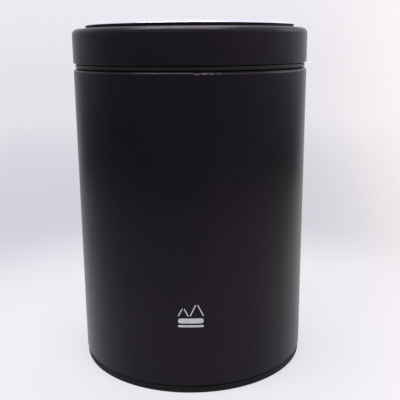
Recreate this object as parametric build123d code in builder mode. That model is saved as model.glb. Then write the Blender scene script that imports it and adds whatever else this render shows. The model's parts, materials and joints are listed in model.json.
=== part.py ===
from build123d import *

import os
from math import cos, radians, sin

# Hard-sided bear canister: a round shell with a foot ring and a lift-off lid held by three coin-turn locks.
#
# Millimetres, +Z up. The origin is the centre of the base, on the plane that the canister stands on.
# Levels along Z are worked out from the foot upwards, and the lid's layers from its top face downwards.

# ---------------------------------------------------------------- driving dimensions
BODY_RADIUS = 110.0  # outside of the shell and of the lid
HEIGHT = 324.5  # from the floor to the top of the lid's disc
SHELL_TOP = 282.5  # shoulder of the shell
LID_BOTTOM = 287.5  # lower edge of the lid's skirt, so that 5 mm of neck shows
SHEET = 1.6  # gauge of the shell, the pan and the lid's skirt
SEAT = 0.05  # gap between a bonded or bolted piece and its seat
RUNNING = 0.05  # radial clearance of a turning shaft

FOOT_TOP = 6.5
FOOT_SEAM = 0.6  # shadow line between the foot and the shell
FOOT_INSET = 0.7
MOUTH_RADIUS = 84.0  # clear way in through the neck

# Layers of the lid, from its top face downwards
DISC = 3.5  # whole height of the disc, over the band that shows below it
PAD = 2.7  # the dark band
CAP = 2.0
WEB = 3.1
SEAL_GAP = 2.4  # between the lid's web and the rim of the neck
RIM_GAP = 0.15  # between the seal and the rim, on different bodies

# Locks
LOCK_RADIUS = 72.0  # of the circle that the three pivots stand on
LOCK_ANGLES = (90, 210, 330)
CAM = 4.0
CAM_REACH = 22.0
CAM_GAP = 0.4  # under the flange that the cams turn beneath

# ---------------------------------------------------------------- levels and radii that follow
shell_bottom = FOOT_TOP + FOOT_SEAM
shell_inner = BODY_RADIUS - SHEET
foot_radius = BODY_RADIUS - FOOT_INSET
pan_radius = shell_inner - SEAT
PAN_BOTTOM = 8.0

disc_bottom = HEIGHT - DISC
cap_top = disc_bottom - PAD
cap_under = cap_top - CAP
web_under = cap_under - WEB

NECK_FLANGE = 3.5
NECK_WALL = 3.0
NECK_RADIUS = 105.8
NECK_GASKET = 1.0
neck_top = web_under - SEAL_GAP
neck_bottom = SHELL_TOP + NECK_GASKET
neck_inner = NECK_RADIUS - NECK_WALL
flange_under = neck_top - NECK_FLANGE
cam_top = flange_under - CAM_GAP
cam_bottom = cam_top - CAM

M4_RADIUS = 2.0
M4_HOLE = 2.2
M4_BORE = M4_RADIUS + SEAT  # a tapped hole, its thread left out

lock_seats = [
    Location((LOCK_RADIUS * cos(radians(a)), LOCK_RADIUS * sin(radians(a)), 0), (0, 0, a))
    for a in LOCK_ANGLES
]


def corner(profile, radius, height):
    """The corner of a profile nearest to a point of its plane."""
    return profile.vertices().sort_by_distance((radius, height))[0]


def ring_section(inner, outer, low, high):
    """Rectangular section of a ring, filled, in the current sketch."""
    Polygon((inner, low), (outer, low), (outer, high), (inner, high), align=None)


def write(piece, name):
    """Labels a finished piece and writes it as one STEP file."""
    piece.label = name
    export_step(piece, f"parts/{name}.step")


os.makedirs("parts", exist_ok=True)

# ================================================================ body
# ---------------------------------------------------------------- foot ring
FOOT_INNER = 88.0
FOOT_RECESS = 3.0  # underside of the inner web, above the floor
FOOT_TREAD = 5.3  # width of the annulus that meets the floor
BASE_SCREWS = 6
BASE_SCREW_CIRCLE = 96.0

with BuildPart() as foot_ring:
    with BuildSketch(Plane.XZ) as foot_profile:
        Polygon(
            (FOOT_INNER, FOOT_RECESS),
            (foot_radius - FOOT_TREAD, FOOT_RECESS),
            (foot_radius - FOOT_TREAD, 0),
            (foot_radius, 0),
            (foot_radius, FOOT_TOP),
            (pan_radius, FOOT_TOP),
            (pan_radius, PAN_BOTTOM),
            (FOOT_INNER, PAN_BOTTOM),
            align=None,
        )
        fillet(corner(foot_profile, foot_radius, 0), 0.7)
        fillet(corner(foot_profile, foot_radius, FOOT_TOP), 0.9)
        fillet(corner(foot_profile, foot_radius - FOOT_TREAD, 0), 1.0)
        fillet(corner(foot_profile, foot_radius - FOOT_TREAD, FOOT_RECESS), 1.0)
    revolve(axis=Axis.Z)
    with PolarLocations(BASE_SCREW_CIRCLE, BASE_SCREWS):
        Hole(M4_HOLE)
write(foot_ring.part, "foot_ring")

# ---------------------------------------------------------------- base pan
PAN_WALL_TOP = 17.0
DISH_RADIUS = 70.0  # of the raised middle of the pan
DISH_RISE = 4.0
DISH_SLOPE = 10.0  # run of the slope around the raised middle

with BuildPart() as base_pan:
    with BuildSketch(Plane.XZ) as pan_profile:
        Polygon(
            (0, PAN_BOTTOM + DISH_RISE),
            (DISH_RADIUS, PAN_BOTTOM + DISH_RISE),
            (DISH_RADIUS + DISH_SLOPE, PAN_BOTTOM),
            (pan_radius, PAN_BOTTOM),
            (pan_radius, PAN_WALL_TOP),
            (pan_radius - SHEET, PAN_WALL_TOP),
            (pan_radius - SHEET, PAN_BOTTOM + SHEET),
            (DISH_RADIUS + DISH_SLOPE, PAN_BOTTOM + SHEET),
            (DISH_RADIUS, PAN_BOTTOM + DISH_RISE + SHEET),
            (0, PAN_BOTTOM + DISH_RISE + SHEET),
            align=None,
        )
        fillet(corner(pan_profile, pan_radius, PAN_BOTTOM), 1.0 + SHEET)
        fillet(corner(pan_profile, pan_radius - SHEET, PAN_BOTTOM + SHEET), 1.0)
        for bend in (DISH_RADIUS, DISH_RADIUS + DISH_SLOPE):
            rise = DISH_RISE if bend == DISH_RADIUS else 0
            fillet(corner(pan_profile, bend, PAN_BOTTOM + rise), 3.0)
            fillet(corner(pan_profile, bend, PAN_BOTTOM + rise + SHEET), 3.0)
    revolve(axis=Axis.Z)
    with PolarLocations(BASE_SCREW_CIRCLE, BASE_SCREWS):
        Hole(M4_HOLE)
write(base_pan.part, "base_pan")

# ---------------------------------------------------------------- shell
SHOULDER = 2.4  # outer radius of the rolled shoulder
SHELL_LIP = 100.5  # inner edge of the lip that the neck is clamped to
lip_under = SHELL_TOP - SHEET

with BuildPart() as body_shell:
    with BuildSketch(Plane.XZ) as shell_profile:
        Polygon(
            (BODY_RADIUS, shell_bottom),
            (BODY_RADIUS, SHELL_TOP),
            (SHELL_LIP, SHELL_TOP),
            (SHELL_LIP, lip_under),
            (shell_inner, lip_under),
            (shell_inner, shell_bottom),
            align=None,
        )
        fillet(corner(shell_profile, BODY_RADIUS, SHELL_TOP), SHOULDER)
        fillet(corner(shell_profile, shell_inner, lip_under), SHOULDER - SHEET)
        fillet(corner(shell_profile, BODY_RADIUS, shell_bottom), 0.7)
    revolve(axis=Axis.Z)
write(body_shell.part, "body_shell")

# ---------------------------------------------------------------- neck: gasket, ring and clamp
CLAMP_INNER = 94.0
CLAMP = 4.0
LOWER_FLANGE = 4.5
NECK_SCREWS = 8
NECK_SCREW_CIRCLE = 97.4
KEY_ANGLES = (30, 150, 270)  # notches that stop the lid from turning
KEY_NOTCH = 6.4
KEY_DEPTH = 2.6
COLLAR_RADIUS = 108.2  # of the band that shows between the shell and the lid
COLLAR = 3.1
collar_top = neck_bottom + COLLAR
clamp_bottom = lip_under - CLAMP

with BuildPart() as neck_gasket:
    with BuildSketch(Plane.XZ):
        ring_section(SHELL_LIP + 0.5, NECK_RADIUS - 0.4, SHELL_TOP, neck_bottom)
    revolve(axis=Axis.Z)
write(neck_gasket.part, "neck_gasket")

with BuildPart() as neck_ring:
    with BuildSketch(Plane.XZ) as neck_profile:
        Polygon(
            (CLAMP_INNER, neck_bottom),
            (COLLAR_RADIUS, neck_bottom),
            (COLLAR_RADIUS, collar_top),
            (NECK_RADIUS, collar_top),
            (NECK_RADIUS, neck_top),
            (MOUTH_RADIUS, neck_top),
            (MOUTH_RADIUS, flange_under),
            (neck_inner, flange_under),
            (neck_inner, neck_bottom + LOWER_FLANGE),
            (CLAMP_INNER, neck_bottom + LOWER_FLANGE),
            align=None,
        )
        fillet(corner(neck_profile, COLLAR_RADIUS, neck_bottom), 0.4)
        fillet(corner(neck_profile, COLLAR_RADIUS, collar_top), 0.5)
        fillet(corner(neck_profile, NECK_RADIUS, collar_top), 0.5)
        fillet(corner(neck_profile, NECK_RADIUS, neck_top), 1.5)
        fillet(corner(neck_profile, MOUTH_RADIUS, neck_top), 1.0)
        fillet(corner(neck_profile, MOUTH_RADIUS, flange_under), 1.0)
        fillet(corner(neck_profile, neck_inner, flange_under), 2.0)
        fillet(corner(neck_profile, neck_inner, neck_bottom + LOWER_FLANGE), 2.0)
        fillet(corner(neck_profile, CLAMP_INNER, neck_bottom + LOWER_FLANGE), 1.0)
    revolve(axis=Axis.Z)
    with PolarLocations(NECK_SCREW_CIRCLE, NECK_SCREWS, start_angle=22.5):
        with Locations((0, 0, neck_bottom + LOWER_FLANGE)):
            Hole(M4_BORE, depth=LOWER_FLANGE)
    with BuildSketch(Plane.XY.offset(flange_under)):
        for angle in KEY_ANGLES:
            with PolarLocations(MOUTH_RADIUS, 1, start_angle=angle):
                SlotCenterToCenter(2 * KEY_DEPTH, KEY_NOTCH / 2)
                Rectangle(2 * KEY_DEPTH, KEY_NOTCH)
    extrude(amount=NECK_FLANGE, mode=Mode.SUBTRACT)
write(neck_ring.part, "neck_ring")

with BuildPart() as clamp_ring:
    with BuildSketch(Plane.XZ) as clamp_profile:
        Polygon(
            (CLAMP_INNER, clamp_bottom),
            (shell_inner - 2.4, clamp_bottom),
            (shell_inner - 2.4, lip_under),
            (SHELL_LIP - 0.6, lip_under),
            (SHELL_LIP - 0.6, neck_bottom),
            (CLAMP_INNER, neck_bottom),
            align=None,
        )
        fillet(corner(clamp_profile, CLAMP_INNER, clamp_bottom), 1.0)
    revolve(axis=Axis.Z)
    with PolarLocations(NECK_SCREW_CIRCLE, NECK_SCREWS, start_angle=22.5):
        Hole(M4_HOLE)
write(clamp_ring.part, "clamp_ring")

# ---------------------------------------------------------------- the body's screws and nuts
HEAD_RADIUS = 3.8
HEAD = 2.2
SOCKET_FLATS = 2.5
NUT_FLATS = 7.0
NUT = 3.2
DOME_RADIUS = 3.1
DOME = 4.2


def button_screw(length):
    """An M4 button-head screw that points up: its head's seat is at z = 0 and its socket faces down."""
    with BuildPart() as screw:
        Cylinder(HEAD_RADIUS, HEAD, align=(Align.CENTER, Align.CENTER, Align.MAX))
        fillet(screw.edges().sort_by(Axis.Z)[0], 1.4)
        with BuildSketch(Plane.XY.offset(-HEAD)):
            RegularPolygon(SOCKET_FLATS / 2, 6, major_radius=False)
        extrude(amount=1.3, mode=Mode.SUBTRACT)
        Cylinder(M4_RADIUS, length, align=(Align.CENTER, Align.CENTER, Align.MIN))
        chamfer(screw.edges().sort_by(Axis.Z)[-1], 0.5)
    return screw.part


foot_screw = button_screw(length=12.0)
clamp_screw = button_screw(length=neck_bottom + LOWER_FLANGE - clamp_bottom)

with BuildPart() as base_screws:
    with Locations((0, 0, FOOT_RECESS)):
        with PolarLocations(BASE_SCREW_CIRCLE, BASE_SCREWS):
            add(foot_screw)
write(base_screws.part, "base_screws")

with BuildPart() as neck_screws:
    with Locations((0, 0, clamp_bottom)):
        with PolarLocations(NECK_SCREW_CIRCLE, NECK_SCREWS, start_angle=22.5):
            add(clamp_screw)
write(neck_screws.part, "neck_screws")

with BuildPart() as base_nuts:
    with BuildSketch(Plane.XY.offset(PAN_BOTTOM + SHEET)):
        with PolarLocations(BASE_SCREW_CIRCLE, BASE_SCREWS):
            RegularPolygon(NUT_FLATS / 2, 6, major_radius=False)
    extrude(amount=NUT)
    with BuildSketch(Plane.XY.offset(PAN_BOTTOM + SHEET + NUT)):
        with PolarLocations(BASE_SCREW_CIRCLE, BASE_SCREWS):
            Circle(DOME_RADIUS)
    extrude(amount=DOME)
    fillet(base_nuts.edges().group_by(Axis.Z)[-1], 2.4)
    with BuildSketch(Plane.XY.offset(PAN_BOTTOM + SHEET)):
        with PolarLocations(BASE_SCREW_CIRCLE, BASE_SCREWS):
            Circle(M4_BORE)
    extrude(amount=NUT + DOME - 1.0, mode=Mode.SUBTRACT)
write(base_nuts.part, "base_nuts")

# ================================================================ lid
BUSH_RADIUS = 14.5  # rim of a lock's bush, in the disc
SLEEVE_RADIUS = 7.5
LID_SCREWS = 6
LID_SCREW_CIRCLE = 70.0

# ---------------------------------------------------------------- cap
CAP_SHOULDER = 5.0
HEM_WIDTH = 2.6
HEM_HEIGHT = 3.4

with BuildPart() as lid_cap:
    with BuildSketch(Plane.XZ) as cap_profile:
        Polygon(
            (0, cap_under),
            (shell_inner, cap_under),
            (shell_inner, LID_BOTTOM + HEM_HEIGHT),
            (BODY_RADIUS - HEM_WIDTH, LID_BOTTOM + HEM_HEIGHT),
            (BODY_RADIUS - HEM_WIDTH, LID_BOTTOM),
            (BODY_RADIUS, LID_BOTTOM),
            (BODY_RADIUS, cap_top),
            (0, cap_top),
            align=None,
        )
        fillet(corner(cap_profile, BODY_RADIUS, cap_top), CAP_SHOULDER)
        fillet(corner(cap_profile, shell_inner, cap_under), CAP_SHOULDER - SHEET)
        fillet(corner(cap_profile, BODY_RADIUS, LID_BOTTOM), 1.2)
        fillet(corner(cap_profile, BODY_RADIUS - HEM_WIDTH, LID_BOTTOM), 1.2)
    revolve(axis=Axis.Z)
    with Locations((0, 0, cap_top)):
        with Locations(*lock_seats):
            Hole(SLEEVE_RADIUS + SEAT)
        with PolarLocations(LID_SCREW_CIRCLE, LID_SCREWS):
            Hole(M4_HOLE)
write(lid_cap.part, "lid_cap")

# ---------------------------------------------------------------- core: the moulding inside the cap
CORE_INNER = 106.3
PLUG_RADIUS = 83.4  # spigot that centres the lid in the mouth
PLUG_WALL = 2.8
PLUG_BOTTOM = flange_under + 0.8
KEY_WIDTH = 5.6
KEY_TIP = MOUTH_RADIUS + KEY_DEPTH - 0.6
LOCK_BOSS = 11.0
SCREW_BOSS = 5.0
SCREW_BOSS_BOTTOM = flange_under + 0.8
RIB = 2.0
RIB_BOTTOM = flange_under + 2.1
HUB_RADIUS = 22.0
INSERT_RADIUS = 3.0
SEAL_INNER = 88.0
SEAL_OUTER = 104.0
SEAL_GROOVE = 0.8

with BuildPart() as lid_core:
    with BuildSketch(Plane.XZ) as core_profile:
        Polygon(
            (0, web_under),
            (SEAL_INNER, web_under),
            (SEAL_INNER, web_under + SEAL_GROOVE),
            (SEAL_OUTER, web_under + SEAL_GROOVE),
            (SEAL_OUTER, web_under),
            (CORE_INNER, web_under),
            (CORE_INNER, LID_BOTTOM + HEM_HEIGHT),
            (pan_radius, LID_BOTTOM + HEM_HEIGHT),
            (pan_radius, cap_under),
            (0, cap_under),
            align=None,
        )
        fillet(corner(core_profile, pan_radius, cap_under), CAP_SHOULDER - SHEET + 0.6)
    revolve(axis=Axis.Z)
    with BuildSketch(Plane.XY.offset(PLUG_BOTTOM)):
        Circle(PLUG_RADIUS)
        Circle(PLUG_RADIUS - PLUG_WALL, mode=Mode.SUBTRACT)
        for angle in KEY_ANGLES:
            with PolarLocations(KEY_TIP - PLUG_WALL / 2, 1, start_angle=angle):
                Rectangle(PLUG_WALL, KEY_WIDTH)
    extrude(until=Until.NEXT)
    with BuildSketch(Plane.XY.offset(RIB_BOTTOM)):
        Circle(HUB_RADIUS + RIB)
        Circle(HUB_RADIUS, mode=Mode.SUBTRACT)
        rib_length = PLUG_RADIUS - PLUG_WALL - HUB_RADIUS
        with PolarLocations(HUB_RADIUS + rib_length / 2, LID_SCREWS):
            Rectangle(rib_length + RIB, RIB)
    extrude(until=Until.NEXT)
    with BuildSketch(Plane.XY.offset(SCREW_BOSS_BOTTOM)):
        with PolarLocations(LID_SCREW_CIRCLE, LID_SCREWS):
            Circle(SCREW_BOSS)
    extrude(until=Until.NEXT)
    with BuildSketch(Plane.XY.offset(flange_under)):
        with Locations(*lock_seats):
            Circle(LOCK_BOSS)
    extrude(until=Until.NEXT)
    with Locations((0, 0, cap_under)):
        with Locations(*lock_seats):
            Hole(SLEEVE_RADIUS + SEAT)
        with PolarLocations(LID_SCREW_CIRCLE, LID_SCREWS):
            Hole(INSERT_RADIUS + SEAT)
write(lid_core.part, "lid_core")

# ---------------------------------------------------------------- seal
with BuildPart() as lid_seal:
    with BuildSketch(Plane.XZ) as seal_profile:
        ring_section(SEAL_INNER + 0.2, SEAL_OUTER - 0.2, neck_top + RIM_GAP, web_under + SEAL_GROOVE)
        fillet(corner(seal_profile, SEAL_INNER, neck_top), 0.6)
        fillet(corner(seal_profile, SEAL_OUTER, neck_top), 0.6)
    revolve(axis=Axis.Z)
write(lid_seal.part, "lid_seal")

# ---------------------------------------------------------------- pad and disc
PAD_RADIUS = 97.2
DISC_RADIUS = 98.0
DISC_LIP = 0.6  # upright part of the edge, under the bevel
BEVEL = 8.5  # width of the bevel around the disc
PLATE = 2.2  # gauge of the disc inside its rim
BOSS_RADIUS = 90.4  # raised middle of the pad, inside the rim of the disc
plate_under = HEIGHT - PLATE
COUNTERSINK = 4.1
ENGRAVING = 0.3
MARK_RADIUS = 18.5  # of the marks around a lock
MARK = 1.4
turn_arc = CenterArc((0, 0), MARK_RADIUS, 196, 58)

with BuildPart() as top_pad:
    with BuildSketch(Plane.XZ):
        Polygon(
            (0, cap_top),
            (PAD_RADIUS, cap_top),
            (PAD_RADIUS, disc_bottom),
            (BOSS_RADIUS, disc_bottom),
            (BOSS_RADIUS, plate_under),
            (0, plate_under),
            align=None,
        )
    revolve(axis=Axis.Z)
    with Locations((0, 0, plate_under)):
        with Locations(*lock_seats):
            Hole(BUSH_RADIUS + SEAT)
        with PolarLocations(LID_SCREW_CIRCLE, LID_SCREWS):
            Hole(M4_HOLE)
write(top_pad.part, "top_pad")

with BuildPart() as top_disc:
    with BuildSketch(Plane.XZ) as disc_profile:
        Polygon(
            (0, plate_under),
            (BOSS_RADIUS + SEAT, plate_under),
            (BOSS_RADIUS + SEAT, disc_bottom),
            (DISC_RADIUS, disc_bottom),
            (DISC_RADIUS, disc_bottom + DISC_LIP),
            (DISC_RADIUS - BEVEL, HEIGHT),
            (0, HEIGHT),
            align=None,
        )
        fillet(corner(disc_profile, DISC_RADIUS - BEVEL, HEIGHT), 3.0)
        fillet(corner(disc_profile, DISC_RADIUS, disc_bottom + DISC_LIP), 0.3)
        fillet(corner(disc_profile, DISC_RADIUS, disc_bottom), 0.2)
    revolve(axis=Axis.Z)
    with Locations((0, 0, HEIGHT)):
        with Locations(*lock_seats):
            Hole(BUSH_RADIUS + SEAT)
        with PolarLocations(LID_SCREW_CIRCLE, LID_SCREWS):
            CounterSinkHole(M4_HOLE, COUNTERSINK, counter_sink_angle=90)
    with BuildSketch(Plane.XY.offset(HEIGHT)):
        with Locations(*lock_seats):
            SlotArc(turn_arc, 0.8)
            with Locations((-MARK_RADIUS, 0)):
                Circle(MARK)
            with Locations((0, -MARK_RADIUS)):
                Circle(MARK)
                Circle(MARK - 0.7, mode=Mode.SUBTRACT)
    extrude(amount=-ENGRAVING, mode=Mode.SUBTRACT)
write(top_disc.part, "top_disc")

# ---------------------------------------------------------------- the lid's screws and inserts
INSERT_TOP = web_under + 1.0
LID_SCREW_TIP = SCREW_BOSS_BOTTOM + 0.7

with BuildPart() as lid_screw:
    with BuildSketch(Plane.XZ):
        Polygon(
            (0, LID_SCREW_TIP),
            (M4_RADIUS, LID_SCREW_TIP),
            (M4_RADIUS, HEIGHT - COUNTERSINK + M4_RADIUS),
            (COUNTERSINK - 0.1, HEIGHT - 0.1),
            (0, HEIGHT - 0.1),
            align=None,
        )
    revolve(axis=Axis.Z)
    with BuildSketch(Plane.XY.offset(HEIGHT - 0.1)):
        RegularPolygon(SOCKET_FLATS / 2, 6, major_radius=False)
    extrude(amount=-1.4, mode=Mode.SUBTRACT)

with BuildPart() as lid_screws:
    with PolarLocations(LID_SCREW_CIRCLE, LID_SCREWS):
        add(lid_screw.part)
write(lid_screws.part, "lid_screws")

with BuildPart() as lid_inserts:
    with BuildSketch(Plane.XY.offset(SCREW_BOSS_BOTTOM)):
        with PolarLocations(LID_SCREW_CIRCLE, LID_SCREWS):
            Circle(INSERT_RADIUS)
            Circle(M4_BORE, mode=Mode.SUBTRACT)
    extrude(amount=INSERT_TOP - SCREW_BOSS_BOTTOM)
write(lid_inserts.part, "lid_inserts")

# ================================================================ locks
# Each piece is drawn about its pivot, with +X pointing out from the middle of the lid.
# At rest the coin slot and the cam point along +Y, which is the open position.
CUP_RADIUS = 12.6
CUP_FLOOR = 1.7
SHAFT_RADIUS = 5.0
KNOB_RADIUS = 12.3
KNOB_TOP = HEIGHT - 0.4
SPRING_ROOM = 0.6
SPRING = 0.3
COIN_SLOT = 2.6
COIN_LENGTH = 21.0
COIN_DEPTH = 2.2
SHAFT_FLATS = 3.6
THREAD_RADIUS = 3.0
THREAD = 6.0
ORING_LEVEL = web_under - 1.2
ORING = 0.55
ORING_GROOVE = 3.9
ARM_RADIUS = 7.0
HUB = 9.5
LOCK_NUT_FLATS = 10.0
LOCK_NUT = 4.8
cup_top = cap_top + CUP_FLOOR
sleeve_bottom = flange_under + 0.1
knob_bottom = cup_top + SPRING_ROOM
shaft_end = cam_bottom + 0.3  # just inside the cam, so that the nut clamps the cam to the shaft

with BuildPart() as lock_bush:
    with BuildSketch(Plane.XZ) as bush_profile:
        Polygon(
            (SHAFT_RADIUS + RUNNING, sleeve_bottom),
            (SLEEVE_RADIUS, sleeve_bottom),
            (SLEEVE_RADIUS, cap_top),
            (BUSH_RADIUS, cap_top),
            (BUSH_RADIUS, HEIGHT),
            (CUP_RADIUS, HEIGHT),
            (CUP_RADIUS, cup_top),
            (SHAFT_RADIUS + RUNNING, cup_top),
            align=None,
        )
        chamfer(corner(bush_profile, CUP_RADIUS, HEIGHT), 0.5)
    revolve(axis=Axis.Z)

with BuildPart() as lock_spindle:
    with BuildSketch(Plane.XZ) as spindle_profile:
        Polygon(
            (0, shaft_end - THREAD),
            (THREAD_RADIUS, shaft_end - THREAD),
            (THREAD_RADIUS, shaft_end),
            (SHAFT_RADIUS, shaft_end),
            (SHAFT_RADIUS, ORING_LEVEL - 0.8),
            (ORING_GROOVE, ORING_LEVEL - 0.8),
            (ORING_GROOVE, ORING_LEVEL + 0.8),
            (SHAFT_RADIUS, ORING_LEVEL + 0.8),
            (SHAFT_RADIUS, knob_bottom),
            (KNOB_RADIUS, knob_bottom),
            (KNOB_RADIUS, KNOB_TOP),
            (0, KNOB_TOP),
            align=None,
        )
        chamfer(corner(spindle_profile, KNOB_RADIUS, KNOB_TOP), 0.4)
        chamfer(corner(spindle_profile, THREAD_RADIUS, shaft_end - THREAD), 0.6)
    revolve(axis=Axis.Z)
    with BuildSketch(Plane.XY.offset(KNOB_TOP)):
        SlotOverall(COIN_LENGTH, COIN_SLOT, rotation=90)
    extrude(amount=-COIN_DEPTH, mode=Mode.SUBTRACT)
    with BuildSketch(Plane.XY.offset(shaft_end)):
        Circle(SHAFT_RADIUS + 1.0)
        Rectangle(2 * SHAFT_FLATS, 4 * SHAFT_RADIUS, mode=Mode.SUBTRACT)
    extrude(amount=cam_top - shaft_end, mode=Mode.SUBTRACT)

with BuildPart() as lock_spring:
    with BuildSketch(Plane.XZ):
        Polygon(
            (SHAFT_RADIUS + 0.4, cup_top + SPRING_ROOM - SPRING),
            (CUP_RADIUS - 1.6, cup_top),
            (CUP_RADIUS - 1.6, cup_top + SPRING),
            (SHAFT_RADIUS + 0.4, cup_top + SPRING_ROOM),
            align=None,
        )
    revolve(axis=Axis.Z)

with BuildPart() as lock_oring:
    with BuildSketch(Plane.XZ):
        with Locations((ORING_GROOVE + ORING + 0.02, ORING_LEVEL)):
            Circle(ORING)
    revolve(axis=Axis.Z)

with BuildPart() as lock_cam:
    with BuildSketch(Plane.XY.offset(cam_bottom)):
        Circle(HUB)
        with Locations((0, CAM_REACH - ARM_RADIUS)):
            Circle(ARM_RADIUS)
        make_hull()
    extrude(amount=CAM)
    chamfer(lock_cam.edges().group_by(Axis.Z)[-1], 0.8)
    with BuildSketch(Plane.XY.offset(cam_bottom)):
        Circle(SHAFT_RADIUS + SEAT)
        Rectangle(2 * (SHAFT_FLATS + SEAT), 4 * SHAFT_RADIUS, mode=Mode.INTERSECT)
    extrude(amount=CAM, mode=Mode.SUBTRACT)

with BuildPart() as lock_nut:
    with BuildSketch(Plane.XY.offset(cam_bottom)):
        RegularPolygon(LOCK_NUT_FLATS / 2, 6, major_radius=False)
        Circle(THREAD_RADIUS + SEAT, mode=Mode.SUBTRACT)
    extrude(amount=-LOCK_NUT)

lock_pieces = {
    "lock_bush": lock_bush,
    "lock_spindle": lock_spindle,
    "lock_spring": lock_spring,
    "lock_oring": lock_oring,
    "lock_cam": lock_cam,
    "lock_nut": lock_nut,
}
for number, seat in enumerate(lock_seats, start=1):
    for name, piece in lock_pieces.items():
        write(piece.part.moved(seat), f"{name}_{number}")
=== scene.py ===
import json
import math

import bmesh
import bpy
from mathutils import Matrix, Vector


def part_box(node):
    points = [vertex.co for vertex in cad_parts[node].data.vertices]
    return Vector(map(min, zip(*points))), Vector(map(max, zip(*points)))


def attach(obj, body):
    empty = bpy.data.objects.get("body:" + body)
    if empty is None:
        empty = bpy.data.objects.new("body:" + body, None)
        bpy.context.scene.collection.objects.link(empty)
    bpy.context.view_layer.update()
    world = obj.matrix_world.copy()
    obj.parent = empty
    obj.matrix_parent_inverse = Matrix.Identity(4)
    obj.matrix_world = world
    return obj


# Looks of the bear canister: procedural materials on its CAD nodes, a printed mark on its front, and
# a plain pale studio. Metres, +Z up, in the frame of the CAD. The front, which carries the mark, faces -Y.

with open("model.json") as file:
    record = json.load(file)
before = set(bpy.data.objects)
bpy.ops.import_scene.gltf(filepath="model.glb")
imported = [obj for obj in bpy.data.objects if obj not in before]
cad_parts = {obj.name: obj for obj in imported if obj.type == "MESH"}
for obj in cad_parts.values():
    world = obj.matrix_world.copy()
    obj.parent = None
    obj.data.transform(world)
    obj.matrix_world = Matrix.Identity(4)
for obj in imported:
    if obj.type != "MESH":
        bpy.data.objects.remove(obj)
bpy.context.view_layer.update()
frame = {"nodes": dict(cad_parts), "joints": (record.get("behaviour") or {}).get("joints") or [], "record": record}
MM = 0.001

# ---------------------------------------------------------------- sizes read from the frame
BARREL_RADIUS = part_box("body_shell")[1].x
DISC_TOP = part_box("top_disc")[1].z
AXIS = (0, 0, 0)  # a point on the canister's own axis


def lock_pivot(number):
    """Centre of a lock, on the lid's top face."""
    joint = next(j for j in frame["joints"] if j["name"] == f"lock_turn_{number}")
    return Vector(joint["pos_m"])


# ================================================================ node trees
class Nodes:
    """A node tree, with short calls to add to it."""

    def __init__(self, tree):
        self.tree = tree

    def node(self, kind, *values, **settings):
        """A new node: values go to its inputs in order, as links or as numbers, and None skips one."""
        made = self.tree.nodes.new(kind)
        for key, value in settings.items():
            setattr(made, key, value)
        for socket, value in zip(made.inputs, values):
            self.feed(socket, value)
        return made

    def feed(self, socket, value):
        """Links a socket, or sets it to a number or a colour."""
        if isinstance(value, bpy.types.NodeSocket):
            self.tree.links.new(value, socket)
        elif value is not None:
            socket.default_value = value

    def calc(self, operation, a, b=None, c=None):
        """A number worked out from up to three others."""
        return self.node("ShaderNodeMath", a, b, c, operation=operation).outputs[0]

    def mingle(self, a, b, share):
        """Two noises in one, in which the first has that share."""
        return self.calc("ADD", self.calc("MULTIPLY", a, share), self.calc("MULTIPLY", b, 1 - share))

    def split(self, vector):
        """The x, y and z of a vector."""
        return self.node("ShaderNodeSeparateXYZ", vector).outputs

    def join(self, x, y, z):
        """A vector from its x, y and z."""
        return self.node("ShaderNodeCombineXYZ", x, y, z).outputs[0]

    def noise(self, vector, scale, detail=2.0, roughness=0.5):
        """Grey noise, with scale grains to a metre or to one unit of the vector that it follows."""
        made = self.node("ShaderNodeTexNoise", vector)
        made.inputs["Scale"].default_value = scale
        made.inputs["Detail"].default_value = detail
        made.inputs["Roughness"].default_value = roughness
        return made.outputs["Fac"]

    def spread(self, value, low, high, from_low=0.3, from_high=0.7):
        """Maps a range to another, smoothly and clamped. Noise mostly lies in the range it starts from."""
        made = self.node("ShaderNodeMapRange", value, from_low, from_high, low, high)
        made.interpolation_type = "SMOOTHSTEP"
        return made.outputs[0]

    def blend(self, factor, a, b):
        """A colour between a and b. The node's sockets are told by number, because their names repeat."""
        made = self.node("ShaderNodeMix", data_type="RGBA")
        for number, value in ((0, factor), (6, a), (7, b)):
            self.feed(made.inputs[number], value)
        return made.outputs[2]

    def bump(self, height, strength, distance, onto=None):
        """Normal of a bumpy surface: distance is the depth of the bumps in metres."""
        made = self.node("ShaderNodeBump")
        made.inputs["Strength"].default_value = strength
        made.inputs["Distance"].default_value = distance
        self.feed(made.inputs["Height"], height)
        self.feed(made.inputs["Normal"], onto)
        return made.outputs[0]


class Shader(Nodes):
    """The nodes of a material around one Principled shader."""

    def __init__(self, name):
        self.material = bpy.data.materials.new(name)
        self.material.use_nodes = True
        super().__init__(self.material.node_tree)
        self.principled = self.tree.nodes["Principled BSDF"]
        self.place = self.node("ShaderNodeTexCoord").outputs["Object"]

    def set(self, **values):
        """Sets or links inputs of the Principled shader, named with underscores for spaces."""
        for key, value in values.items():
            self.feed(self.principled.inputs[key.replace("_", " ")], value)

    def radius_from(self, centre):
        """Distance from a vertical axis through a point."""
        shifted = self.node("ShaderNodeVectorMath", self.place, tuple(centre), operation="SUBTRACT")
        x, y, _ = self.split(shifted.outputs[0])
        squares = [self.calc("MULTIPLY", leg, leg) for leg in (x, y)]
        return self.calc("SQRT", self.calc("ADD", *squares))


def grey(level, tint=(1.0, 1.0, 1.0)):
    """An opaque grey of that level, coloured slightly by a tint."""
    return tuple(level * t for t in tint) + (1.0,)


COOL = (1.0, 1.0, 1.08)
VIOLET = (1.0, 0.86, 1.08)
STEEL = (1.03, 1.0, 0.97)
SILICONE = (1.0, 1.0, 1.03)
INK = (1.0, 0.99, 1.03)

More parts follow.
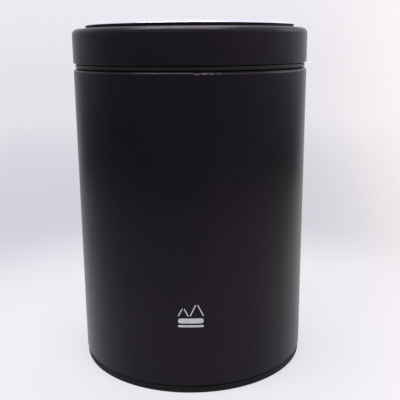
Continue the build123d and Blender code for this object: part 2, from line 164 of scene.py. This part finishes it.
# ================================================================ materials
# Noise scales are in grains to the metre, and bumps are a few hundredths of a millimetre deep. Colour and
# roughness each wander between two values, so that no surface is evenly coloured or evenly shiny.
def powder_coat():
    """Matte black powder coat: a fine pebbled skin with faint clouding."""
    s = Shader("powder_coat_black")
    cloud = s.noise(s.place, 14.0, 3.0)
    pebble = s.noise(s.place, 1400.0, 2.0)
    wave = s.noise(s.place, 260.0, 2.0)
    sheen = s.calc("ADD", cloud, s.calc("MULTIPLY", pebble, 0.25))
    s.set(
        Base_Color=s.blend(s.spread(cloud, 0.0, 1.0), grey(0.0028, VIOLET), grey(0.0040, VIOLET)),
        Roughness=s.spread(sheen, 0.27, 0.32, 0.35, 0.9),
        Specular_IOR_Level=0.19,
        Specular_Tint=grey(1.0, VIOLET),
        Normal=s.bump(pebble, 0.22, 0.05 * MM, s.bump(wave, 0.12, 0.08 * MM)),
    )
    return s.material


def black_anodised():
    """Satin black anodised aluminium with fine turning lines around the axis."""
    s = Shader("anodised_black")
    _, _, z = s.split(s.place)
    turned = s.noise(s.join(s.radius_from(AXIS), 0.0, z), 5200.0, 2.0)
    cloud = s.noise(s.place, 40.0, 3.0)
    s.set(
        Base_Color=s.blend(cloud, grey(0.0045, VIOLET), grey(0.0065, VIOLET)),
        Roughness=s.spread(turned, 0.30, 0.40),
        Specular_IOR_Level=0.28,
        Normal=s.bump(turned, 0.10, 0.03 * MM),
    )
    return s.material


def clear_anodised():
    """Pressed floor pan: dull silver, with a soft drawn grain."""
    s = Shader("anodised_clear")
    grain = s.noise(s.join(s.radius_from(AXIS), 0.0, 0.0), 1800.0, 4.0)
    cloud = s.noise(s.place, 30.0, 4.0)
    wear = s.mingle(grain, cloud, 0.5)
    s.set(
        Base_Color=s.blend(cloud, grey(0.50, COOL), grey(0.58, COOL)),
        Metallic=1.0,
        Roughness=s.spread(wear, 0.36, 0.52),
        Normal=s.bump(grain, 0.12, 0.03 * MM),
    )
    return s.material


ENGRAVING_DEPTH = 0.3 * MM
FLAT_RADIUS = 88.0 * MM  # of the disc's anodised flat, which carries the engraved marks
# black for every sunk face of the flat: enamel in the engraved marks, painted shade in the other recesses
ENAMEL_AND_RECESS_SHADE = grey(0.012)


def spun_aluminium():
    """Spun disc: a grey anodised flat with fine tool rings, enamel in its engraved marks, the same black as
    painted shade on the walls of its other recesses, and a bright edge.
    """
    s = Shader("aluminium_spun")
    x, y, z = s.split(s.place)
    radius = s.radius_from(AXIS)
    fine = s.noise(s.join(radius, 0.0, 0.0), 4200.0, 3.0, 0.6)
    broad = s.noise(s.join(radius, 0.0, 0.0), 420.0, 2.0)
    rings = s.mingle(fine, broad, 0.6)
    streak = s.noise(s.join(s.calc("MULTIPLY", radius, 40.0), s.calc("ARCTAN2", y, x), 0.0), 9.0, 4.0)
    # every face sunk below the flat is painted black: enamel in the engraved marks, and painted shade on the rims
    # of the screw countersinks and the walls of the lock holes
    sunk = s.calc("LESS_THAN", z, DISC_TOP - 0.5 * ENGRAVING_DEPTH)
    flat = s.calc("LESS_THAN", radius, FLAT_RADIUS)
    enamel_and_recess_shade = s.calc("MULTIPLY", sunk, flat)
    bright = s.blend(s.spread(streak, 0.0, 1.0), grey(0.80, COOL), grey(0.86, COOL))
    anodised = s.blend(s.spread(streak, 0.0, 1.0), grey(0.13, COOL), grey(0.17, COOL))
    s.set(
        Base_Color=s.blend(enamel_and_recess_shade, s.blend(flat, bright, anodised), ENAMEL_AND_RECESS_SHADE),
        Metallic=s.calc("SUBTRACT", 1.0, enamel_and_recess_shade),
        Roughness=s.calc("ADD", s.calc("MULTIPLY", flat, 0.36), s.spread(rings, 0.14, 0.24)),
        Normal=s.bump(fine, 0.08, 0.01 * MM),
    )
    return s.material


def black_rubber():
    """Moulded rubber: dull, slightly dusty, with a fine sparked skin."""
    s = Shader("rubber_black")
    skin = s.noise(s.place, 2200.0, 3.0)
    dust = s.noise(s.place, 55.0, 5.0, 0.65)
    s.set(
        Base_Color=s.blend(s.spread(dust, 0.0, 1.0, 0.45, 0.85), grey(0.0035, VIOLET), grey(0.0080)),
        Roughness=s.spread(dust, 0.52, 0.68),
        Specular_IOR_Level=0.16,
        Normal=s.bump(skin, 0.25, 0.04 * MM),
    )
    return s.material


def seal_silicone():
    """Grey silicone with a faint bloom."""
    s = Shader("silicone_grey")
    bloom = s.noise(s.place, 90.0, 4.0)
    skin = s.noise(s.place, 1500.0, 2.0)
    s.set(
        Base_Color=s.blend(bloom, grey(0.27, SILICONE), grey(0.36, SILICONE)),
        Roughness=s.spread(bloom, 0.42, 0.56),
        Normal=s.bump(skin, 0.10, 0.04 * MM),
    )
    return s.material


def black_nylon():
    """Moulded glass-filled nylon: charcoal, with a sparked mould texture and faint flow marks."""
    s = Shader("nylon_black")
    spark = s.noise(s.place, 1800.0, 4.0, 0.7)
    flow = s.noise(s.place, 35.0, 5.0, 0.7)
    s.set(
        Base_Color=s.blend(s.spread(flow, 0.0, 1.0), grey(0.022, COOL), grey(0.034, COOL)),
        Roughness=s.spread(flow, 0.46, 0.60),
        Normal=s.bump(spark, 0.35, 0.05 * MM),
    )
    return s.material


def stainless(name, centre):
    """Turned and blasted stainless steel, with rings about the vertical axis through a centre."""
    s = Shader(name)
    _, _, z = s.split(s.place)
    rings = s.noise(s.join(s.radius_from(centre), 0.0, z), 6500.0, 3.0, 0.6)
    cloud = s.noise(s.place, 120.0, 3.0)
    s.set(
        Base_Color=s.blend(cloud, grey(0.28, STEEL), grey(0.34, STEEL)),
        Metallic=1.0,
        Roughness=s.spread(rings, 0.46, 0.58),
        Normal=s.bump(rings, 0.20, 0.02 * MM),
    )
    return s.material


def brass():
    """Machined brass, a little tarnished."""
    s = Shader("brass_machined")
    tarnish = s.noise(s.place, 260.0, 4.0)
    s.set(
        Base_Color=s.blend(tarnish, (0.66, 0.46, 0.20, 1.0), (0.80, 0.60, 0.30, 1.0)),
        Metallic=1.0,
        Roughness=s.spread(tarnish, 0.26, 0.44),
    )
    return s.material


def mark_ink():
    """Screen-printed ink: light grey, with the faint mottle of a print on textured paint."""
    s = Shader("ink_light_grey")
    mottle = s.noise(s.place, 1400.0, 3.0)
    cloud = s.noise(s.place, 160.0, 2.0)
    cover = s.mingle(mottle, cloud, 0.5)
    s.set(
        Base_Color=s.blend(s.spread(cover, 0.0, 1.0), grey(0.40, INK), grey(0.54, INK)),
        Roughness=s.spread(cloud, 0.48, 0.62),
        Normal=s.bump(mottle, 0.15, 0.03 * MM),
    )
    return s.material


# ---------------------------------------------------------------- materials onto the CAD nodes
LOCKS = (1, 2, 3)
finishes = {
    "powder_coat": powder_coat(),
    "black_anodised": black_anodised(),
    "clear_anodised": clear_anodised(),
    "spun_aluminium": spun_aluminium(),
    "black_rubber": black_rubber(),
    "seal_silicone": seal_silicone(),
    "black_nylon": black_nylon(),
    "stainless": stainless("stainless_plain", AXIS),
    "brass": brass(),
}
lock_finishes = {number: stainless(f"stainless_lock_{number}", lock_pivot(number)) for number in LOCKS}

for part in frame["record"]["subparts"]:
    name, slot = part["node"], part["material_slot"]
    finish = finishes[slot]
    if slot == "stainless" and name.startswith("lock_"):
        finish = lock_finishes[int(name[-1])]  # a lock's pieces end in its number
    node = frame["nodes"][name]
    node.data.materials.clear()
    node.data.materials.append(finish)

# ================================================================ printed mark on the barrel
MARK_HEIGHT = 75.5 * MM  # of its middle above the floor
MARK_TURN = math.radians(-1.0)  # off the front
INK_LOW, INK_HIGH = 0.02 * MM, 0.07 * MM  # underside and face of the ink, above the paint
STROKE_END_STEPS = 8  # points around a stroke's end
INK_RINGS = 6  # rings of faces between a patch's middle and its outline

# the drawing, in millimetres from its middle
PEAKS = ((-6.6, 4.2, 6.2), (5.2, 5.7, 9.6))  # for each one its middle, half of its width, and its height
PEAK_FOOT = -0.8
PEAK_GAP = 2.0  # between the middles of the two strokes at a tip
PEAK_STROKE = 0.95
BARS = ((-5.6, 4.6), (-10.5, 1.9))  # for each one its middle and its thickness
BAR_LENGTH = 22.5


def on_barrel(point, lift):
    """A point of the mark's flat drawing, wrapped onto the barrel's front."""
    angle = MARK_TURN + point.x / BARREL_RADIUS
    radius = BARREL_RADIUS + lift
    return Vector((radius * math.sin(angle), -radius * math.cos(angle), MARK_HEIGHT + point.y))


def stroke(start, end, width):
    """Outline of a straight stroke with round ends. A point every millimetre lets it follow the barrel."""
    start, end = Vector(start) * MM, Vector(end) * MM
    radius = width * MM / 2
    along = (end - start).normalized()
    lean = math.atan2(along.y, along.x)
    steps = math.ceil((end - start).length / MM)
    outline = []
    for first, last, turn in ((start, end, lean - math.pi / 2), (end, start, lean + math.pi / 2)):
        offset = radius * Vector((math.cos(turn), math.sin(turn)))
        outline += [first.lerp(last, k / steps) + offset for k in range(steps)]
        for k in range(STROKE_END_STEPS):
            angle = turn + math.pi * k / STROKE_END_STEPS
            outline.append(last + radius * Vector((math.cos(angle), math.sin(angle))))
    return outline


def ink_patch(mesh, outline):
    """A thin closed patch of ink with that outline: an underside and a face of rings, joined by a rim."""
    middle = sum(outline, Vector((0, 0))) / len(outline)
    rims = []
    for lift, flip in ((INK_LOW, True), (INK_HIGH, False)):
        centre = mesh.verts.new(on_barrel(middle, lift))
        inner = None
        for k in range(1, INK_RINGS + 1):
            share = k / INK_RINGS
            ring = [mesh.verts.new(on_barrel(middle.lerp(point, share), lift)) for point in outline]
            for i, corner in enumerate(ring):
                j = (i + 1) % len(ring)
                face = [inner[i], corner, ring[j], inner[j]] if inner else [centre, corner, ring[j]]
                mesh.faces.new(face[::-1] if flip else face)
            inner = ring
        rims.append(inner)
    low, high = rims
    for i, corner in enumerate(low):
        j = (i + 1) % len(low)
        mesh.faces.new((corner, low[j], high[j], high[i]))


def object_from(mesh, name, finish):
    """Turns a finished bmesh into an object of the scene."""
    data = bpy.data.meshes.new(name)
    mesh.to_mesh(data)
    mesh.free()
    data.materials.append(finish)
    made = bpy.data.objects.new(name, data)
    bpy.context.scene.collection.objects.link(made)
    return made


def add_printed_mark():
    """Two plain peaks, each of two strokes, over a broad bar and a thin one. It rides on the canister."""
    mesh = bmesh.new()
    for middle, half_width, tall in PEAKS:
        for side in (-1, 1):
            foot = (middle + side * half_width, PEAK_FOOT)
            tip = (middle + side * PEAK_GAP / 2, PEAK_FOOT + tall)
            ink_patch(mesh, stroke(foot, tip, PEAK_STROKE))
    for up, thick in BARS:
        reach = (BAR_LENGTH - thick) / 2
        ink_patch(mesh, stroke((-reach, up), (reach, up), thick))
    mark = object_from(mesh, "front_mark", mark_ink())
    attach(mark, "canister")


add_printed_mark()

# ================================================================ studio
CAMERA_FOCAL = 57.445  # millimetres, on a sensor 36 mm wide
CAMERA_DISTANCE = 5.685 * BARREL_RADIUS
CAMERA_HEIGHT = 2.7527 * BARREL_RADIUS
CAMERA_PITCH = math.radians(13.588)  # downwards
CAMERA_YAW = 0.0133  # to the right, in radians
CAMERA_ROLL = -0.0079  # in radians


def add_camera():
    """The camera stands in front of the object and looks slightly down at it."""
    forward = Vector((
        math.sin(CAMERA_YAW) * math.cos(CAMERA_PITCH),
        math.cos(CAMERA_YAW) * math.cos(CAMERA_PITCH),
        -math.sin(CAMERA_PITCH),
    ))
    level = Vector((math.cos(CAMERA_YAW), -math.sin(CAMERA_YAW), 0))
    upright = level.cross(forward)
    right = math.cos(CAMERA_ROLL) * level + math.sin(CAMERA_ROLL) * upright
    up = math.cos(CAMERA_ROLL) * upright - math.sin(CAMERA_ROLL) * level
    camera = bpy.data.objects.new("camera", bpy.data.cameras.new("camera"))
    camera.data.lens = CAMERA_FOCAL
    camera.data.clip_start = 0.01
    camera.data.dof.use_dof = False
    camera.matrix_world = Matrix((right, up, -forward)).transposed().to_4x4()
    camera.location = (0, -CAMERA_DISTANCE, CAMERA_HEIGHT)
    bpy.context.scene.collection.objects.link(camera)
    bpy.context.scene.camera = camera


FLOOR_REACH = 0.9  # radius of the lit floor
COVE_FOOT = 2.4  # radius where the surround turns up
COVE_BEND = 0.9  # radius of that bend
COVE_TOP = 3.4
COVE_STEPS = 12
LATHE_SEGMENTS = 96

PAPER = 0.175  # how much of the lamps' light the floor gives back
PAPER_MOTTLE = 0.01
PAPER_TINT = (1.0, 0.985, 1.01)
NEAR_GLOW = 0.66  # share of the glow close to the object, where the lamps do the rest

# colours of the glow, and where each fades in: distances from the axis, sideways or up, in metres
NEAR_FLOOR = (0.86, 0.84, 0.89, 1.0)
DIM_BAND = (0.650, 0.640, 0.695, 1.0)
DIM_BAND_FADE = (0.11, 0.48)
FAR_FLOOR = (0.785, 0.765, 0.820, 1.0)
FAR_FLOOR_FADE = (0.58, COVE_FOOT)
HIGH_WALL = (0.880, 0.855, 0.915, 1.0)
HIGH_WALL_FADE = (0.0, 0.9)
LAMP_FADE = (0.18, 0.55)  # where the glow takes over from the lamps
# painted light: the glow is brighter and a little warmer on the right, as if a lamp lit that side
PAINTED_LIGHT_RIGHT = (1.020, 0.960, 0.950, 1.0)
PAINTED_LIGHT_RIGHT_SHARE = 0.7
PAINTED_LIGHT_RIGHT_FADE = (0.12, 0.32)  # metres to the right for each metre of depth
DEPTH_ORIGIN = -1.0  # where that depth is counted from
LEAST_DEPTH = 0.4

# a dimmer part of the floor, on both sides behind the object, that this camera sees only in reflections
OUT_OF_SIGHT = (0.40, 0.39, 0.43, 1.0)
BESIDE_FADE = (0.40, 0.75)  # sideways
BEHIND_FADE = (-0.25, 0.10)  # backwards
ON_FLOOR_FADE = (0.55, FLOOR_REACH)  # outwards, where it ends again


def lathe(name, profile, finish):
    """A part of the stage: a surface of revolution about Z from (radius, height) points."""
    mesh = bmesh.new()
    turns = [math.tau * i / LATHE_SEGMENTS for i in range(LATHE_SEGMENTS)]
    rings = []
    for radius, height in profile:
        if radius == 0:
            rings.append([mesh.verts.new((0, 0, height))] * LATHE_SEGMENTS)
        else:
            rings.append([
                mesh.verts.new((radius * math.cos(turn), radius * math.sin(turn), height)) for turn in turns
            ])
    for lower, upper in zip(rings, rings[1:]):
        for i in range(LATHE_SEGMENTS):
            j = (i + 1) % LATHE_SEGMENTS
            corners = [lower[i], upper[i], upper[j], lower[j]]
            mesh.faces.new(list(dict.fromkeys(corners)))  # a triangle where two corners are one at the axis
    made = object_from(mesh, name, finish)
    return made


def stage_paint():
    """Pale paper, lit by the lamps near the object and glowing evenly further away, so no edge shows."""
    s = Shader("stage_pale")
    x, y, height = s.split(s.place)
    radius = s.radius_from(AXIS)
    depth = s.calc("MAXIMUM", s.calc("ADD", y, -DEPTH_ORIGIN), LEAST_DEPTH)
    sideways = s.calc("DIVIDE", x, depth)
    band = s.blend(s.spread(radius, 0.0, 1.0, *DIM_BAND_FADE), NEAR_FLOOR, DIM_BAND)
    ground = s.blend(s.spread(radius, 0.0, 1.0, *FAR_FLOOR_FADE), band, FAR_FLOOR)
    wall = s.blend(s.spread(height, 0.0, 1.0, *HIGH_WALL_FADE), ground, HIGH_WALL)
    # painted light: brightens the glow towards the right
    glow_with_painted_light = s.blend(s.spread(sideways, 0.0, PAINTED_LIGHT_RIGHT_SHARE, *PAINTED_LIGHT_RIGHT_FADE), wall, PAINTED_LIGHT_RIGHT)
    beside = s.spread(s.calc("ABSOLUTE", x), 0.0, 1.0, *BESIDE_FADE)
    behind = s.spread(y, 0.0, 1.0, *BEHIND_FADE)
    on_floor = s.spread(radius, 1.0, 0.0, *ON_FLOOR_FADE)
    hidden = s.calc("MULTIPLY", s.calc("MULTIPLY", beside, behind), on_floor)
    mottle = s.noise(s.place, 3.0, 1.0)
    paper = s.blend(mottle, grey(PAPER - PAPER_MOTTLE, PAPER_TINT), grey(PAPER + PAPER_MOTTLE, PAPER_TINT))
    s.set(
        Base_Color=s.blend(s.spread(radius, 0.0, 1.0, *LAMP_FADE), paper, grey(0.0)),
        Roughness=0.9,
        Specular_IOR_Level=0.0,
        Emission_Color=s.blend(hidden, glow_with_painted_light, OUT_OF_SIGHT),
        Emission_Strength=s.spread(radius, NEAR_GLOW, 1.0, *LAMP_FADE),
    )
    return s.material


def add_stage():
    """A round floor, and a surround that turns up into a wall and is seen by the camera alone."""
    paint = stage_paint()
    lathe("floor", [(0, 0), (FLOOR_REACH / 3, 0), (FLOOR_REACH * 2 / 3, 0), (FLOOR_REACH, 0)], paint)
    bend = [
        (COVE_FOOT + COVE_BEND * math.sin(turn), COVE_BEND * (1 - math.cos(turn)))
        for turn in (math.pi / 2 * k / COVE_STEPS for k in range(COVE_STEPS + 1))
    ]
    surround = lathe("surround", [(FLOOR_REACH, 0), *bend, (COVE_FOOT + COVE_BEND, COVE_TOP)], paint)
    surround.visible_diffuse = False
    surround.visible_glossy = False
    surround.visible_shadow = False


# each softbox: its name, where it stands, the point it faces, its width and height, and its watts
SOFTBOXES = (
    ("softbox_front", (-0.1, -0.34, 1.4), (0, 0, 0.2), (1.3, 0.3), 18.0),
    ("softbox_back", (0, 0.35, 1.45), (0, 0, 0.2), (0.8, 0.6), 12.0),
    ("softbox_right", (1.2, 0.35, 0.75), (0, 0, 0.3), (0.5, 0.5), 1.2),
)


def add_softbox(name, place, aim, size, power):
    """A soft rectangular light that the camera doesn't see."""
    light = bpy.data.objects.new(name, bpy.data.lights.new(name, "AREA"))
    light.data.shape = "RECTANGLE"
    light.data.size, light.data.size_y = size
    light.data.energy = power
    light.location = place
    light.rotation_mode = "QUATERNION"
    light.rotation_quaternion = (Vector(aim) - Vector(place)).to_track_quat("-Z", "Y")
    light.visible_camera = False
    bpy.context.scene.collection.objects.link(light)


# the room's light by direction: x to the right, y away from the camera, z up
ROOM_TINT = (1.0, 0.955, 1.05, 1.0)
BACKDROP_CENTRE = Vector((0.05, 0.97, 0.25)).normalized()
BACKDROP_GLOW = 0.92
BACKDROP_FADE = (0.35, 0.97)  # cosines of the angle from its centre
FRONT_GLOW = 0.065  # everywhere, also under the horizon
ROOM_GLOW = 0.60  # above the horizon
HORIZON_FADE = (-0.22, 0.10)
SIDE_GLOW = 0.98  # above the horizon on the right
SIDE_FADE = (0.1, 1.0)
CEILING_GLOW = 1.5  # how many times brighter the room is overhead
CEILING_FADE = (0.15, 0.75)


def add_world():
    """Soft room light: bright behind the object, dim in front, brighter above and on the right."""
    world = bpy.data.worlds.new("studio")
    bpy.context.scene.world = world
    world.use_nodes = True
    sky = Nodes(world.node_tree)
    toward = sky.node("ShaderNodeTexCoord").outputs["Generated"]
    x, _, z = sky.split(toward)
    behind = sky.node("ShaderNodeVectorMath", toward, BACKDROP_CENTRE, operation="DOT_PRODUCT")
    backdrop = sky.spread(behind.outputs["Value"], 0.0, BACKDROP_GLOW, *BACKDROP_FADE)
    upper = sky.spread(z, 0.0, 1.0, *HORIZON_FADE)
    sides = sky.spread(x, ROOM_GLOW, SIDE_GLOW, *SIDE_FADE)
    ceiling = sky.spread(z, 1.0, CEILING_GLOW, *CEILING_FADE)
    room = sky.calc("MULTIPLY_ADD", upper, sky.calc("MULTIPLY", sides, ceiling), FRONT_GLOW)
    background = sky.tree.nodes["Background"]
    sky.feed(background.inputs["Color"], ROOM_TINT)
    sky.feed(background.inputs["Strength"], sky.calc("MAXIMUM", backdrop, room))


add_camera()
add_stage()
add_world()
for softbox in SOFTBOXES:
    add_softbox(*softbox)
view_settings = bpy.context.scene.view_settings
view_settings.view_transform = "Standard"
view_settings.look = "None"
